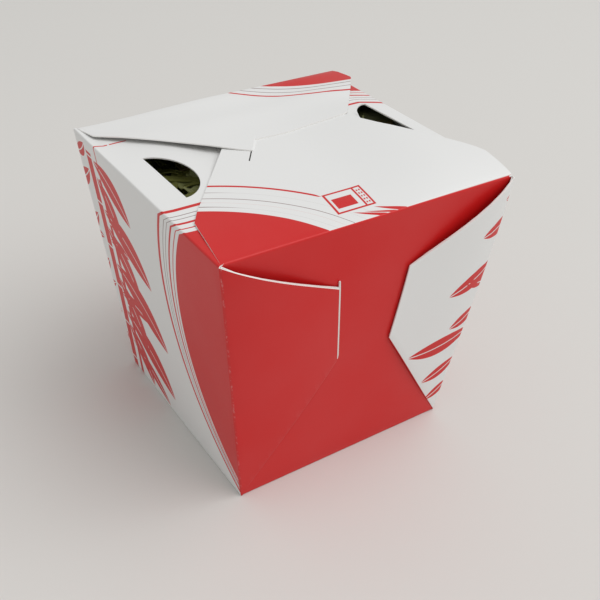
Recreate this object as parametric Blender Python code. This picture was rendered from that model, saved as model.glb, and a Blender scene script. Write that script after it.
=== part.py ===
"""A closed takeaway food box, folded from one sheet of paperboard, with leafy food inside.

The box stands on its square base and widens upwards. The side walls carry on round the four
corners as doubled corner flaps, which lie on the front and back walls. On top, two side flaps
with half-round vents lie lowest, the front flap lies over them, and the back flap lies over the
front flap and hooks its tongue through a slit in it. The board is drawn a little thicker than
it is where two layers of it lie on each other, so that the corner flaps are one plate each.

Frame: origin under the middle of the base, +X to the right, +Y to the back, +Z up. Metres.
"""

import math
import random

import bmesh
import bpy
from mathutils import Matrix, Vector
from mathutils.geometry import delaunay_2d_cdt

MM = 0.001

# The board, and the box's outside at its four corner folds.
BOARD = 0.45 * MM
BASE_HALF_X = 42.3 * MM
BASE_HALF_Y = 42.3 * MM
LID_HALF_X = 53.5 * MM
LID_HALF_Y = 51.0 * MM
LID_Z = 100.0 * MM  # height of the four folds that carry the lid's flaps
SLANT = math.hypot(LID_Z, LID_HALF_Y - BASE_HALF_Y)  # length of the front wall, up its face
EMBED = 0.15 * MM  # how far plates run into each other where they are joined
LAYER_GAP = 0.25 * MM  # air between boards that lie on each other

# The doubled corner flaps, and the front and back walls behind them.
CORNER_PLATE = 2 * BOARD + 0.05 * MM
WALL_RECESS = CORNER_PLATE + 0.15 * MM  # at the top; the layers come together at the base
BASE_RECESS = 0.3 * MM
CORNER_ROOT = 3 * MM  # width over which a corner flap is joined to the box
LEFT_CORNER_TIP = (12.3 * MM, 78.6 * MM)  # across from the middle, and up the slanted wall
LEFT_CORNER_APEX = (11.0 * MM, 47.6 * MM)
RIGHT_CORNER_TIP = (14.8 * MM, 77.6 * MM)
RIGHT_CORNER_APEX = (12.8 * MM, 46.3 * MM)
LEFT_CORNER_BOW = 1.8 * MM  # how far it arches off the wall between its fold and its tip
RIGHT_CORNER_BOW = 3.0 * MM
CORNER_EDGE_SAG = 0.5 * MM  # how far its top edge is cut lower in the middle
CORNER_STAND_OFF = 0.3 * MM  # how far its free end stands off the wall

# The lid's outlines as (x, y), from the fold at the left round to the fold at the right.
FRONT_FLAP = [(-53.2, -50), (-48.5, -28), (-44.9, -22.7), (-15.5, 14), (-8, 21), (22, 20.5)]
FRONT_FLAP += [(30, 13), (32.2, 5.5), (35, -2.5), (38.2, -9.3), (41.2, -15.2), (44.2, -20.7)]
FRONT_FLAP += [(47.2, -26), (49.8, -30.3), (51.8, -33.9), (53, -37.2), (53.3, -50)]
BACK_FLAP = [(-53.2, 50), (-50.6, 40), (-33.4, 25.2), (-17.9, 10.9)]
BACK_FLAP_END = [(8.3, 11.6), (20, 11.2), (29.2, 11), (31.6, 12.1), (39.5, 20.7), (45.9, 28.5)]
BACK_FLAP_END += [(52.7, 37.2), (53, 38.8), (53.2, 50)]
FRONT_BULGE = 3.9 * MM  # how far the front flap arches up at its right
BACK_BULGE = 2.7 * MM
BACK_LIFT = 1.3 * MM  # the back flap lies this much higher than the folds
SIDE_SAG = 1.2 * MM  # the left side flap sinks this much towards its end
SIDE_RISE = 0.22  # the right side flap slopes up by about this much, more at its front,
SIDE_TOP = 3.2 * MM  # as far as this height

# The slit in the front flap, and the back flap's tongue that hooks into it.
SLIT_END = Vector((-14.9, -1.4)) * MM
TONGUE_START = Vector((-10.4, 4.75)) * MM
TONGUE_END = Vector((-5.4, 11.7)) * MM
TONGUE_LENGTH = 6 * MM
TONGUE_DROP = 2 * (BOARD + LAYER_GAP)
ALONG_SLIT = (TONGUE_END - TONGUE_START).normalized()
PAST_SLIT = Vector((ALONG_SLIT.y, -ALONG_SLIT.x))
SLIT_WIDTH = 0.4 * MM

# The side flaps and their half-round vents, as distances from the flap's own fold.
SIDE_FLAP_DEPTH = 39 * MM
SIDE_FLAP_TAPER = 16 * MM
VENT_INSET = 10.3 * MM
VENT_DEPTH = 10.2 * MM
LEFT_VENT_Y = (-12.0 * MM, 18.1 * MM)
RIGHT_VENT_Y = (-14.5 * MM, 15.6 * MM)

# The food: a core that fills the box, with leaf shreds on top of it.
FOOD_CLEARANCE = 0.7 * MM
CORE_TOP_Z = 85.5 * MM
CORE_BUMP = 2.2 * MM
SHREDS = 42
SHRED_THICKNESS = 0.8 * MM

MESH_CELL = 9 * MM
EDGE_SHARES = (0.12, 0.25, 0.4, 0.6, 0.8)  # where a corner flap's top edge has its points


def smooth(x):
    """Eases from 0 to 1 as x goes from 0 to 1."""
    x = min(1.0, max(0.0, x))
    return x * x * (3 - 2 * x)


def half_size(z):
    """Half width and half depth of the box at height z, at its corner folds."""
    share = z / LID_Z
    half_x = BASE_HALF_X + (LID_HALF_X - BASE_HALF_X) * share
    half_y = BASE_HALF_Y + (LID_HALF_Y - BASE_HALF_Y) * share
    return half_x, half_y


def material(name, colour, roughness):
    made = bpy.data.materials.new(name)
    made.use_nodes = True
    shader = made.node_tree.nodes["Principled BSDF"]
    shader.inputs["Base Color"].default_value = (*colour, 1.0)
    shader.inputs["Roughness"].default_value = roughness
    shader.inputs["Metallic"].default_value = 0.0
    return made


def object_from(mesh, name):
    """Turns a bmesh into an object, with its faces pointing out."""
    bmesh.ops.recalc_face_normals(mesh, faces=mesh.faces)
    data = bpy.data.meshes.new(name)
    mesh.to_mesh(data)
    mesh.free()
    made = bpy.data.objects.new(name, data)
    bpy.context.scene.collection.objects.link(made)
    return made


def inside(point, polygon):
    """Whether a 2-D point lies in a polygon."""
    found = False
    for (ax, ay), (bx, by) in zip(polygon, polygon[1:] + polygon[:1]):
        if (ay > point[1]) != (by > point[1]):
            if point[0] < ax + (point[1] - ay) * (bx - ax) / (by - ay):
                found = not found
    return found


def inner_points(loops, cell):
    """Points a cell apart that lie well inside the first loop and outside the others."""
    xs = [x for x, _ in loops[0]]
    ys = [y for _, y in loops[0]]
    near = cell / 3
    found = []
    for i in range(1, int((max(xs) - min(xs)) / cell) + 1):
        for j in range(1, int((max(ys) - min(ys)) / cell) + 1):
            x = min(xs) + i * cell
            y = min(ys) + j * cell
            around = [(x - near, y - near), (x + near, y - near), (x - near, y + near), (x + near, y + near)]
            if all(inside(p, loops[0]) and not any(inside(p, hole) for hole in loops[1:]) for p in around):
                found.append((x, y))
    return found


def cut_sheet(loops, cell=MESH_CELL):
    """Triangles of a flat sheet: its outline is the first loop, and the others are holes in it."""
    points = []
    edges = []
    for loop in loops:
        first = len(points)
        points += loop
        edges += [(first + i, first + (i + 1) % len(loop)) for i in range(len(loop))]
    points += inner_points(loops, cell)
    flat, _, triangles, _, _, _ = delaunay_2d_cdt([Vector(p) for p in points], edges, [], 0, 1e-7)
    kept = []
    for triangle in triangles:
        middle = sum((flat[i] for i in triangle), Vector((0, 0))) / 3
        if inside(middle, loops[0]) and not any(inside(middle, hole) for hole in loops[1:]):
            kept.append(triangle)
    return flat, kept


def plate(name, loops, outer, inner, cell=MESH_CELL):
    """A closed plate between two faces, each given by a function of the flat sheet's points."""
    flat, triangles = cut_sheet(loops, cell)
    mesh = bmesh.new()
    outside = [mesh.verts.new(outer(*point)) for point in flat]
    within = [mesh.verts.new(inner(*point)) for point in flat]
    sides = {}
    for triangle in triangles:
        mesh.faces.new([outside[i] for i in triangle])
        mesh.faces.new([within[i] for i in reversed(triangle)])
        for i in range(3):
            edge = (triangle[i], triangle[(i + 1) % 3])
            sides[frozenset(edge)] = None if frozenset(edge) in sides else edge
    for edge in filter(None, sides.values()):
        a, b = edge
        mesh.faces.new((outside[b], outside[a], within[a], within[b]))
    loose = [corner for corner in mesh.verts if not corner.link_faces]
    bmesh.ops.delete(mesh, geom=loose, context="VERTS")
    return object_from(mesh, name)


def tray():
    """The base and the four walls, open at the top."""
    mesh = bmesh.new()
    bmesh.ops.create_cube(mesh, size=2)
    for corner in mesh.verts:
        high = corner.co.z > 0
        z = LID_Z - EMBED if high else 0.0
        half_x, half_y = half_size(z)
        recess = WALL_RECESS if high else BASE_RECESS
        corner.co = (corner.co.x * half_x, corner.co.y * (half_y - recess), z)
    mesh.normal_update()
    top = [face for face in mesh.faces if face.normal.z > 0.9]
    bmesh.ops.delete(mesh, geom=top, context="FACES_ONLY")
    made = object_from(mesh, "carton")
    board = made.modifiers.new("board", "SOLIDIFY")
    board.thickness = BOARD
    board.offset = -1
    board.use_even_offset = True
    apply_modifiers(made)
    return made


def apply_modifiers(made):
    graph = bpy.context.evaluated_depsgraph_get()
    data = bpy.data.meshes.new_from_object(made.evaluated_get(graph))
    made.modifiers.clear()
    made.data = data


def corner_flap(side_x, side_y, tip, apex, bow):
    """The doubled board that folds from a side wall's edge on to the front or back wall."""
    lean = (LID_HALF_Y - BASE_HALF_Y) / SLANT
    rise = LID_Z / SLANT
    foot = Vector((BASE_HALF_X - EMBED / 2, 0.4 * MM))
    head = Vector((LID_HALF_X - EMBED / 2, SLANT - BOARD))
    up = (head - foot).normalized()
    across = Vector((-up.y, up.x))
    tip = Vector(tip)
    edge = [head.lerp(tip, t) - Vector((0, CORNER_EDGE_SAG * math.sin(math.pi * t))) for t in EDGE_SHARES]
    loop = [tuple(p) for p in (foot, head, *edge, tip, Vector(apex))]
    reach = (tip - foot).dot(across)

    def face(u, v, depth):
        y = BASE_HALF_Y + v * lean - depth * rise
        return Vector((side_x * u, side_y * y, v * rise + depth * lean))

    def lift(u, v):
        away = min(1.0, max(0.0, (Vector((u, v)) - foot).dot(across) / reach))
        return CORNER_STAND_OFF * away * away + bow * math.sin(math.pi * away**0.75) * v / SLANT

    def inner_depth(u, v):
        joined = 1 - smooth((Vector((u, v)) - foot).dot(across) / CORNER_ROOT)
        return CORNER_PLATE + (WALL_RECESS - CORNER_PLATE + EMBED) * joined - lift(u, v)

    return plate(
        "corner_flap", [loop], lambda u, v: face(u, v, -lift(u, v)), lambda u, v: face(u, v, inner_depth(u, v))
    )


def bulge(x, distance, start_x, full_x, span):
    """The arch of a flap near its right end: 0 at its fold and towards its free edge."""
    share = min(1.0, max(0.0, distance / span))
    return smooth((x - start_x) / (full_x - start_x)) * math.sin(math.pi * share**0.7)


def front_height(x, y):
    distance = y + LID_HALF_Y - WALL_RECESS
    arch = FRONT_BULGE * bulge(x, distance, 2 * MM, 40 * MM, 90 * MM)
    return LID_Z + 0.35 * MM * smooth(distance / (12 * MM)) + arch


def past_slit(x, y):
    """How far a point lies past the slit, and how far along it from the tongue's start."""
    offset = Vector((x, y)) - TONGUE_START
    return offset.dot(PAST_SLIT), offset.dot(ALONG_SLIT)


def back_height(x, y):
    distance = LID_HALF_Y - WALL_RECESS - y
    arch = BACK_BULGE * bulge(x, distance, 8 * MM, LID_HALF_X, 60 * MM)
    height = LID_Z + BACK_LIFT * smooth(distance / (20 * MM)) + arch
    on_front = front_height(x, y) + BOARD + LAYER_GAP
    height += max(0.0, on_front - height) * smooth((distance - 18 * MM) / (12 * MM))
    past, along = past_slit(x, y)
    if past > 0 and along < (TONGUE_END - TONGUE_START).length + SLIT_WIDTH:
        height -= min(past, TONGUE_DROP)
    return height


def in_metres(points):
    return [(x * MM, y * MM) for x, y in points]


def slit_loop():
    """The slit: wide where the tongue goes through it, and a thin cut beyond."""
    width = (TONGUE_END - TONGUE_START).length
    length = (SLIT_END - TONGUE_START).length
    route = [(-LAYER_GAP, width + LAYER_GAP), (TONGUE_DROP, width + LAYER_GAP), (TONGUE_DROP, -LAYER_GAP)]
    route += [(SLIT_WIDTH, -LAYER_GAP), (SLIT_WIDTH, -length), (0, -length), (0, -LAYER_GAP)]
    route += [(-LAYER_GAP, -LAYER_GAP)]
    return [tuple(TONGUE_START + PAST_SLIT * past + ALONG_SLIT * along) for past, along in route]


def lid_flap(name, loops, height):
    return plate(
        name, loops, lambda x, y: Vector((x, y, height(x, y))), lambda x, y: Vector((x, y, height(x, y) - BOARD))
    )


def front_flap():
    fold_y = -(LID_HALF_Y - WALL_RECESS - EMBED / 3)
    outline = [(x * MM, max(y * MM, fold_y)) for x, y in FRONT_FLAP]
    return lid_flap("front_flap", [outline, slit_loop()], front_height)


def back_flap():
    """The top flap, with the tongue that goes down through the slit and under the front flap."""
    fold_y = LID_HALF_Y - WALL_RECESS - EMBED / 3
    narrow = TONGUE_START.lerp(TONGUE_END, 0.2) + PAST_SLIT * TONGUE_LENGTH
    wide = TONGUE_START.lerp(TONGUE_END, 0.8) + PAST_SLIT * TONGUE_LENGTH
    under = PAST_SLIT * TONGUE_DROP
    tongue = [TONGUE_START, TONGUE_START + under, narrow, wide, TONGUE_END + under, TONGUE_END]
    outline = in_metres(BACK_FLAP) + [tuple(p) for p in tongue] + in_metres(BACK_FLAP_END)
    outline = [(x, min(y, fold_y)) for x, y in outline]
    return lid_flap("back_flap", [outline], back_height)


def vent_loop(side_x):
    """A half-round hole whose straight side is parallel to the flap's fold."""
    chord_x = LID_HALF_X - VENT_INSET
    front_y, back_y = LEFT_VENT_Y if side_x < 0 else RIGHT_VENT_Y
    middle_y = (front_y + back_y) / 2
    radius_y = (back_y - front_y) / 2
    loop = []
    for i in range(15):
        angle = math.pi * i / 14
        x = chord_x - VENT_DEPTH * math.sin(angle) ** 0.85
        loop.append((side_x * x, middle_y - radius_y * math.cos(angle)))
    return loop


def side_height(x, y):
    """The left flap sags and the right one slopes up, as far as the front and back flaps over them allow."""
    distance = LID_HALF_X - abs(x)
    lift = min(SIDE_TOP, SIDE_RISE * (1 - y / (70 * MM)) * distance)
    if x < 0:
        lift = -0.2 * MM - SIDE_SAG * smooth((distance - 20 * MM) / (15 * MM))
    else:
        past_front = y - (15 * MM - 2.18 * (x - 30 * MM))
        under_front = front_height(x, y) - BOARD - LAYER_GAP - LID_Z
        lift = min(lift, under_front + SIDE_TOP * smooth(past_front / (6 * MM)))
    under_back = back_height(x, y) - BOARD - LAYER_GAP - LID_Z
    return LID_Z + min(lift, under_back) * smooth(distance / (2.5 * MM))


def side_flap(side_x):
    fold_x = LID_HALF_X - EMBED / 3
    end_y = LID_HALF_Y - WALL_RECESS - 1.2 * MM
    free_x = fold_x - SIDE_FLAP_DEPTH
    loop = [(fold_x, -end_y), (fold_x, end_y), (free_x, end_y - SIDE_FLAP_TAPER), (free_x, SIDE_FLAP_TAPER - end_y)]
    loop = [(side_x * x, y) for x, y in loop]

    return lid_flap("side_flap", [loop, vent_loop(side_x)], side_height)


def fuse(pieces):
    """Joins all pieces to the first with one Boolean union, and removes the others."""
    target = pieces[0]
    group = bpy.data.collections.new("pieces")
    for piece in pieces[1:]:
        group.objects.link(piece)
    join = target.modifiers.new("fuse", "BOOLEAN")
    join.operation = "UNION"
    join.solver = "MANIFOLD"
    join.operand_type = "COLLECTION"
    join.collection = group
    apply_modifiers(target)
    for piece in pieces[1:]:
        bpy.data.objects.remove(piece)
    bpy.data.collections.remove(group)
    return target


def make_carton():
    pieces = [tray()]
    for side_y in (-1, 1):
        pieces.append(corner_flap(-1, side_y, LEFT_CORNER_TIP, LEFT_CORNER_APEX, LEFT_CORNER_BOW))
        pieces.append(corner_flap(1, side_y, RIGHT_CORNER_TIP, RIGHT_CORNER_APEX, RIGHT_CORNER_BOW))
    pieces += [side_flap(-1), side_flap(1), front_flap(), back_flap()]
    carton = fuse(pieces)
    carton.data.materials.append(material("white_board", (0.75, 0.75, 0.74), 0.45))


def core_top(x, y):
    """The uneven top of the food under its loose shreds."""
    wave = math.sin(x / MM * 0.19 + 0.8) * math.cos(y / MM * 0.23 - 0.5) + 0.5 * math.sin((x + y) / MM * 0.37)
    return CORE_TOP_Z + CORE_BUMP * wave / 1.5


def food_core():
    """The food's bulk: it fills the box up to the shreds."""
    inset_y = WALL_RECESS + BOARD + FOOD_CLEARANCE
    inset_x = BOARD + FOOD_CLEARANCE
    high_x, high_y = half_size(CORE_TOP_Z + CORE_BUMP)
    low_x, low_y = half_size(BOARD)
    slip = 0.1 * MM  # a wall leans, so a level distance is a little more than the clearance
    base_z = BOARD + FOOD_CLEARANCE
    shrink_x = (low_x - inset_x) / (high_x - inset_x)
    shrink_y = (low_y - inset_y) / (high_y - inset_y)
    x, y = high_x - inset_x - CORE_BUMP * 0.2 - slip, high_y - inset_y - CORE_BUMP * 0.2 - slip
    loop = [(-x, -y), (x, -y), (x, y), (-x, y)]

    def bottom(u, v):
        return Vector((u * shrink_x, v * shrink_y, base_z))

    return plate("leaf_filling", [loop], lambda u, v: Vector((u, v, core_top(u, v))), bottom, cell=8 * MM)


def leaf_shred(dice, x, y):
    """One wavy strip of leaf, part sunk in the core."""
    length = dice.uniform(17, 34) * MM
    width = dice.uniform(4.5, 9) * MM
    heading = dice.uniform(0, math.pi)
    waves = dice.uniform(0.8, 2.2)
    height = dice.uniform(1.4, 2.8) * MM
    phase = dice.uniform(0, 6)
    curl = dice.uniform(-0.5, 0.5)
    roll = dice.uniform(-0.5, 0.5)
    turn = Matrix.Rotation(heading, 3, "Z")
    steps = 5
    mesh = bmesh.new()
    rings = []
    for i in range(steps + 1):
        share = i / steps
        run = (share - 0.5) * length
        half = width / 2 * math.sin(math.pi * (0.12 + 0.76 * share)) ** 0.5
        rise = height * math.sin(2 * math.pi * waves * share + phase)
        ring = []
        for side in (-1, 1):
            for level in (-0.5, 0.5):
                spot = turn @ Vector((run, side * half + curl * run * share, rise + side * half * roll))
                spot.z += level * SHRED_THICKNESS + core_top(x, y) + 1.2 * MM
                ring.append(mesh.verts.new((x + spot.x, y + spot.y, spot.z)))
        rings.append([ring[0], ring[1], ring[3], ring[2]])
    for low, high in zip(rings, rings[1:]):
        for i in range(4):
            a, b, c, d = low[i], low[(i + 1) % 4], high[(i + 1) % 4], high[i]
            mesh.faces.new((a, b, c))
            mesh.faces.new((a, c, d))
    mesh.faces.new(rings[0])
    mesh.faces.new(rings[-1])
    return object_from(mesh, "shred")


def keep_largest_body(made):
    """Drops loose scraps, so that the node is one solid."""
    mesh = bmesh.new()
    mesh.from_mesh(made.data)
    left = set(mesh.verts)
    bodies = []
    while left:
        body = {left.pop()}
        edge_of = list(body)
        while edge_of:
            corner = edge_of.pop()
            for edge in corner.link_edges:
                other = edge.other_vert(corner)
                if other in left:
                    left.discard(other)
                    body.add(other)
                    edge_of.append(other)
        bodies.append(body)
    scraps = [corner for body in bodies if body is not max(bodies, key=len) for corner in body]
    bmesh.ops.delete(mesh, geom=scraps, context="VERTS")
    mesh.to_mesh(made.data)
    mesh.free()


def make_filling():
    dice = random.Random(7)
    pieces = [food_core()]
    columns = 7
    step = 2 * 38 * MM / columns
    for i in range(SHREDS):
        x = -38 * MM + (i % columns + 0.5) * step + dice.uniform(-3, 3) * MM
        y = -34 * MM + (i // columns + 0.5) * step + dice.uniform(-3, 3) * MM
        pieces.append(leaf_shred(dice, min(max(x, -34 * MM), 34 * MM), min(max(y, -31 * MM), 31 * MM)))
    filling = fuse(pieces)
    keep_largest_body(filling)
    filling.data.materials.append(material("leaves", (0.28, 0.30, 0.06), 0.6))


def main():
    for old in list(bpy.data.objects):
        bpy.data.objects.remove(old)
    make_carton()
    make_filling()


main()
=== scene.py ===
"""The looks of a closed takeaway food box: printed paperboard, folded and hooked, with leaf shreds inside.

The box is four sheets of board, each cut flat, creased and then folded in code as by hand:
a front sheet with the base and the slit flap, a back sheet with the hooked flap, and two side
sheets whose corner flaps are doubled and lie on the front and back walls.
"""

import math
import random

import bmesh
import bpy
import numpy as np
from bpy.props import FloatProperty, FloatVectorProperty, IntProperty, PointerProperty
from mathutils import Matrix, Vector


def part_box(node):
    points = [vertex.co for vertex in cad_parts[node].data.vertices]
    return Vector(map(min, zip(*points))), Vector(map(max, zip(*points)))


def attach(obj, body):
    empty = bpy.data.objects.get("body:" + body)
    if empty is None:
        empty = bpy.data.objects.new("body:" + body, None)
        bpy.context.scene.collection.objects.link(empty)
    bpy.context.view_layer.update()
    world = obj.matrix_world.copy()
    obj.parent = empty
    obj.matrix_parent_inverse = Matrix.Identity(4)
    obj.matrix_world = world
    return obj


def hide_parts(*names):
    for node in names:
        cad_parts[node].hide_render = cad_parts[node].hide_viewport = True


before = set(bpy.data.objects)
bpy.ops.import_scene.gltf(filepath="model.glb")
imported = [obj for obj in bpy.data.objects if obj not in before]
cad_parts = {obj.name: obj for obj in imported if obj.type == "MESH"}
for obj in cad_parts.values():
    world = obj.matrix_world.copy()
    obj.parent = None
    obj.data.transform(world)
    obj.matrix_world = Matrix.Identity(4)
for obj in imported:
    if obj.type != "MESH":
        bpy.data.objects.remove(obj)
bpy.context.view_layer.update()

bl_info = {
    "name": "Takeaway Food Box",
    "version": (1, 0, 0),
    "blender": (4, 5, 0),
    "location": "3D View > Sidebar > Food Box",
    "description": "Builds a closed paperboard takeaway box with leaf shreds inside",
    "category": "Add Mesh",
}

MM = 0.001

# The box's outside at its corner folds, as the frame has it.
LID_Z = 100 * MM
LID_HALF_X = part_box("carton")[1].x
LID_HALF_Y = 51.0 * MM
BASE_HALF = 42.3 * MM
TOP_RECESS = 1.1 * MM  # the front and back walls lie this far behind the corner folds
BASE_RECESS = 0.3 * MM
LIP = 3 * MM  # the walls' turned-in bottom edges
WALL_INSET = 0.45 * MM  # the long walls end this far inside the corner folds
CORNER_RELIEF = 0.5 * MM  # the cut between a flap and a corner flap
FOLD_RELIEF = 0.6 * MM  # how far below the fold that cut begins

# The doubled corner flaps on their walls, seen from outside: tip and apex, each as across from the
# middle and up the slant.
LEFT_CORNER = (Vector((12.6, 78.4)) * MM, Vector((9.4, 47.6)) * MM)
RIGHT_CORNER = (Vector((13.9, 77.9)) * MM, Vector((10.85, 48.6)) * MM)
CORNER_HEAD = 100.6 * MM
CORNER_EDGE_SHARES = (0.17, 0.34, 0.5, 0.67, 0.84)  # points along its top edge, from head to tip
# How far its inner layer sticks out at its free end, and up at its tip.
LEFT_UNDERLAP = (0.85 * MM, 2.5 * MM)
RIGHT_UNDERLAP = (-0.5 * MM, 0.0)
CORNER_LIFT = 0.25 * MM  # how far its free end stands off the wall
SIDE_BOW = 1.4 * MM  # how far the right wall bows out
BACK_RISE = 1.5 * MM  # how far the back wall's top fold rises towards its right end

# The lid's outlines, seen from above, in millimetres from the middle of the box.
FRONT_FLAP_LEFT = [(-48.5, -28), (-44.9, -22.7), (-15.5, 14), (-8, 21)]
FRONT_FLAP_RIGHT = [(22, 20.5), (30, 13), (32.2, 5.5), (35, -2.5), (38.2, -9.3), (41.2, -15.2), (44.2, -20.7)]
FRONT_FLAP_RIGHT += [(47.2, -26), (49.8, -30.3), (51.8, -33.9), (53.1, -37.2), (53.4, -48.9)]
BACK_FLAP_LEFT = [(-50.6, 40), (-33.4, 25.2), (-17.9, 10.9)]
BACK_FLAP_RIGHT = [(8.3, 11.2), (15.4, 11.4), (20.9, 11), (27.6, 10.7), (30.4, 10.6)]
BACK_FLAP_RIGHT += [(32.2, 11.5), (39.5, 20.5), (45.9, 28.4), (52.7, 37.5), (52.9, 38.6)]
SLIT_END = Vector((-14.9, -1.4)) * MM
TONGUE_START = Vector((-10.4, 4.75)) * MM
TONGUE_END = Vector((-5.4, 11.7)) * MM
TONGUE_LENGTH = 6 * MM
TONGUE_DIP = math.radians(40)  # how far the tongue turns down into the slit
TONGUE_FOLD = 0.7 * MM
SLIT_HALF_WIDTH = 0.22 * MM
ALONG_SLIT = (TONGUE_END - TONGUE_START).normalized()
PAST_SLIT = Vector((ALONG_SLIT.y, -ALONG_SLIT.x))
SIDE_FLAP_DEPTH = 39 * MM
SIDE_FLAP_TAPER = 16 * MM
# Each vent: how far it is from the fold, its middle's y and half its length.
LEFT_VENT = (10.1 * MM, 3.1 * MM, 15.3 * MM)
RIGHT_VENT = (9.8 * MM, 0.55 * MM, 15.05 * MM)
VENT_DEPTH = 10.2 * MM

# How the lid's flaps arch and sag off the level of their folds.
FRONT_BULGE = 3.9 * MM
FRONT_LIFT = 0.35 * MM
BACK_BULGE = 2.7 * MM
BACK_LIFT = 1.3 * MM
SIDE_SAG = 1.2 * MM
LEFT_SAG = 0.5 * MM
SIDE_RISE = 0.25
SIDE_TOP = 3.2 * MM
FRONT_EDGE = (30 * MM, 15 * MM, -2.18)  # a point on the front flap's right edge, and the edge's slope

# The map from a flat sheet to its UVs, which the print reads.
UV_SPAN = 0.36
UV_DROP = 100 * MM  # what the map covers below a wall's foot
UV_NAME = "sheet"

# The camera, as a place and the three directions of its picture.
CAMERA_PLACE = Vector((-0.1465913, -0.2231274, 0.2254579))
CAMERA_FORWARD = Vector((0.46776742, 0.67643305, -0.5688866))
CAMERA_UP = Vector((0.28927371, 0.4910291, 0.82171232))
CAMERA_LENS = 53.286
SENSOR = 36.0

# The stage and the colours that have no setting of their own.
FLOOR_COLOUR = (0.705, 0.695, 0.672)
SKY_COLOUR = (1.0, 0.99, 0.975)
SKY_STRENGTH = 0.54
LIGHT_PLACE = (1.0, -1.1, 2.4)
LIGHT_SIZE = 2.6
LIGHT_POWER = 47
BOARD_INSIDE = (0.74, 0.73, 0.70)
PAINTED_LEAF_SHADE = (0.02, 0.022, 0.006)  # the painted shade that leaf colours darken towards

# The filling: its core, the shreds over it and the larger pieces by the right vent, in millimetres. An
# area is low x, high x, low y and high y.
CORE_TOP = 87.6
CORE_HILLS = 1.4
CORE_GAP = 1.6
PILE_RISE = 5.4
SHRED_STEPS = 16
SHRED_THICKNESS = 0.35
SHRED_ARCH = 1.4
SHRED_AREA = (-48, 48, -44, 44)
PALE_PIECES, PALE_AREA = 14, (43, 48, 12, 26)
BROWN_PIECES, BROWN_AREA = 9, (44, 50, -4, 9)


def length(name, description, default):
    """A setting in metres, from its default in millimetres."""
    return FloatProperty(name=name, description=description, default=default * MM, unit="LENGTH", precision=5)


def colour(name, description, default):
    return FloatVectorProperty(name=name, description=description, subtype="COLOR", size=3, default=default)


class FoodBoxSizes(bpy.types.PropertyGroup):
    """Sizes of the board and its folds."""

    board: length("Board", "Thickness of the paperboard", 0.42)
    fold_radius: length("Fold radius", "Outer radius of a fold", 0.65)
    double_radius: length("Doubled fold", "Radius where a corner flap doubles back", 0.43)
    left_bow: length("Left bow", "How far left corner flaps arch off the wall", 2.8)
    right_bow: length("Right bow", "How far right corner flaps arch off the wall", 2.9)
    cell: length("Mesh cell", "Spacing of the blank's grid", 4.0)


class FoodBoxColours(bpy.types.PropertyGroup):
    """Colours of the board, its print and the food."""

    white: colour("White board", "Coated board", (0.80, 0.805, 0.80))
    red: colour("Red ink", "Solid red print", (0.62, 0.008, 0.008))
    fine: colour("Fine lines", "The thinnest printed lines", (0.30, 0.22, 0.22))
    # Raw board, but set lighter than the coated white so that cut edges turned away from the light still look
    # white: partly painted light.
    edge: colour("Cut edge", "Raw board at a cut", (0.86, 0.85, 0.83))
    leaf: colour("Leaf", "Green leaf shreds", (0.36, 0.37, 0.09))
    pale_leaf: colour("Pale leaf", "Pale leaf ribs and hearts", (0.72, 0.76, 0.28))
    dry_leaf: colour("Brown leaf", "Brownish shreds", (0.25, 0.17, 0.07))


class FoodBoxFilling(bpy.types.PropertyGroup):
    """Counts and the seed of the leaf shreds."""

    green: IntProperty(name="Green shreds", description="How many green leaf shreds", default=150, min=1)
    pale: IntProperty(name="Pale shreds", description="How many pale leaf shreds", default=46, min=1)
    brown: IntProperty(name="Brown shreds", description="How many brownish shreds", default=36, min=1)
    seed: IntProperty(name="Seed", description="Start of the random draw", default=11)


def smooth(x):
    """Eases from 0 to 1 as x goes from 0 to 1."""
    x = np.clip(x, 0.0, 1.0)
    return x * x * (3 - 2 * x)


def keep(piece, node):
    """Gives a finished piece to the frame, in place of its solid."""
    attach(piece, "root")
    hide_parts(node)


# ---------------------------------------------------------------- modelling helpers

UP, DOWN = Vector((0, 1)), Vector((0, -1))  # directions in the flat sheet
CUT_TOLERANCE = 4e-6  # metres within which a corner counts as lying on a cut


def deselect_all():
    if bpy.context.mode != "OBJECT":
        bpy.ops.object.mode_set(mode="OBJECT")
    bpy.ops.object.select_all(action="DESELECT")


def make_active(piece):
    deselect_all()
    piece.select_set(True)
    bpy.context.view_layer.objects.active = piece


def apply_modifiers(piece):
    make_active(piece)
    for name in [m.name for m in piece.modifiers]:
        bpy.ops.object.modifier_apply(modifier=name)


def select_faces(piece, wanted):
    """Selects the faces whose index is in wanted, and nothing else, in edit mode."""
    make_active(piece)
    mesh = piece.data
    mesh.vertices.foreach_set("select", [False] * len(mesh.vertices))
    mesh.edges.foreach_set("select", [False] * len(mesh.edges))
    chosen = np.zeros(len(mesh.polygons), bool)
    chosen[wanted] = True
    mesh.polygons.foreach_set("select", chosen)
    bpy.context.tool_settings.mesh_select_mode = (False, False, True)
    bpy.ops.object.mode_set(mode="EDIT")


def face_centres(piece):
    """Each face's middle and its reach from there, in the flat sheet."""
    mesh = piece.data
    centres = np.zeros(len(mesh.polygons) * 3)
    mesh.polygons.foreach_get("center", centres)
    centres = centres.reshape(-1, 3)[:, :2]
    corners = np.array([v.co[:2] for v in mesh.vertices])
    reach = np.array(
        [np.abs(corners[list(p.vertices)] - c).max() * 1.5 for p, c in zip(mesh.polygons, centres)]
    )
    return centres, reach


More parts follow.
